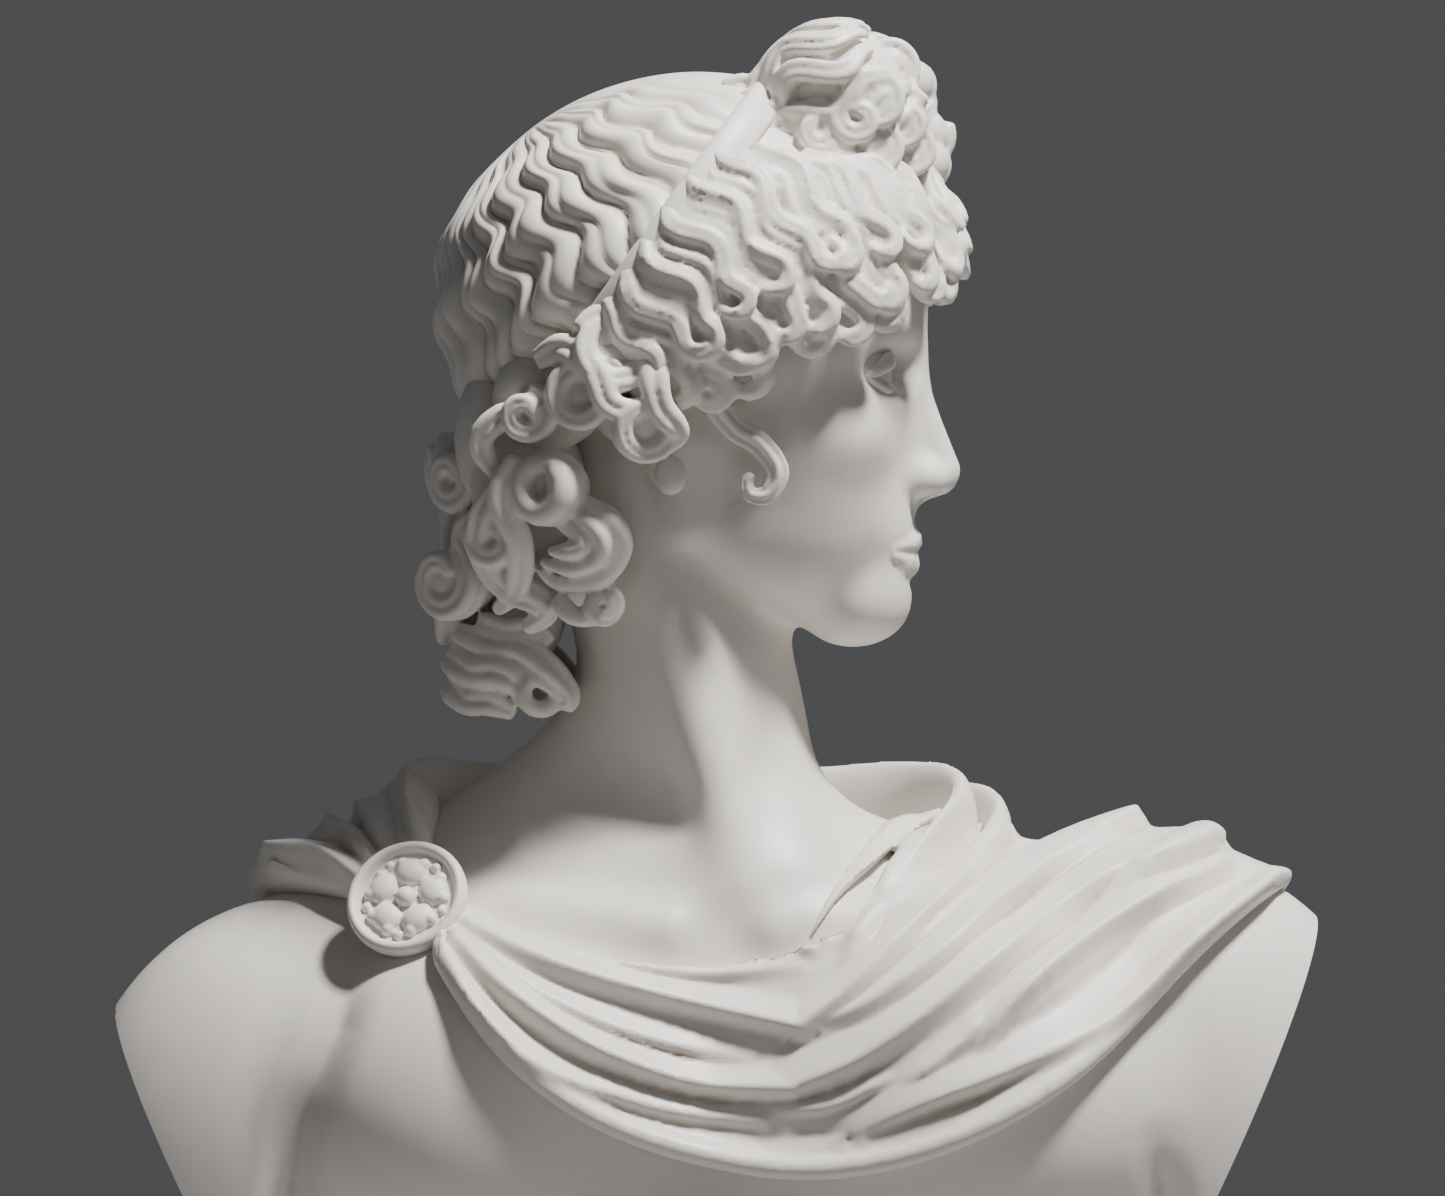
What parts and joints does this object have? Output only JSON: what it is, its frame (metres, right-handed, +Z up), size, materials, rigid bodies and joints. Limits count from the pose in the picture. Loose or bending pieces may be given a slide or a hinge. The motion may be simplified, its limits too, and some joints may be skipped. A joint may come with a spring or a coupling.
{
  "type": "marble bust",
  "caption": "Classical draped marble bust with its head turned in profile, standing on a turned round socle.",
  "frame": {"origin": "centre of the felt's underside, on the axis that the bust turns about", "axes": "+Z up, the chest faces -Y, the face looks along +X"},
  "size_m": [0.2431, 0.1134, 0.3763],
  "materials": {
    "marble": "honed white marble, warm in the hollows, soft satin sheen",
    "steel": "plain turned steel",
    "felt": "dense green felt",
    "slip_washer": "thin matt nylon"
  },
  "bodies": {
    "socle": {"socle": "marble", "felt_pad": "felt", "slip_washer": "slip_washer"},
    "bust": {"torso": "marble", "head": "marble", "cloak_front": "marble", "cloak_back": "marble", "shoulder_gather": "marble", "shoulder_pile": "marble", "brooch_rim": "marble", "brooch_rosette": "marble", "crown_hair": "marble", "hair_fillet": "marble", "front_waves": "marble", "topknot_near": "marble", "topknot_far": "marble", "side_curls_near": "marble", "side_curls_far": "marble", "temple_lock_near": "marble", "temple_lock_far": "marble", "nape_curls": "marble", "threaded_rod": "steel", "steel_washer": "steel", "hex_nut": "steel", "neck_dowel": "steel", "brooch_dowel": "steel", "topknot_dowels": "steel"}
  },
  "joints": [
    {"name": "bust_swivel", "type": "hinge", "parent": "socle", "child": "bust", "pos_m": [0, 0, 0], "axis": [0, 0, 1], "continuous": true}
  ]
}
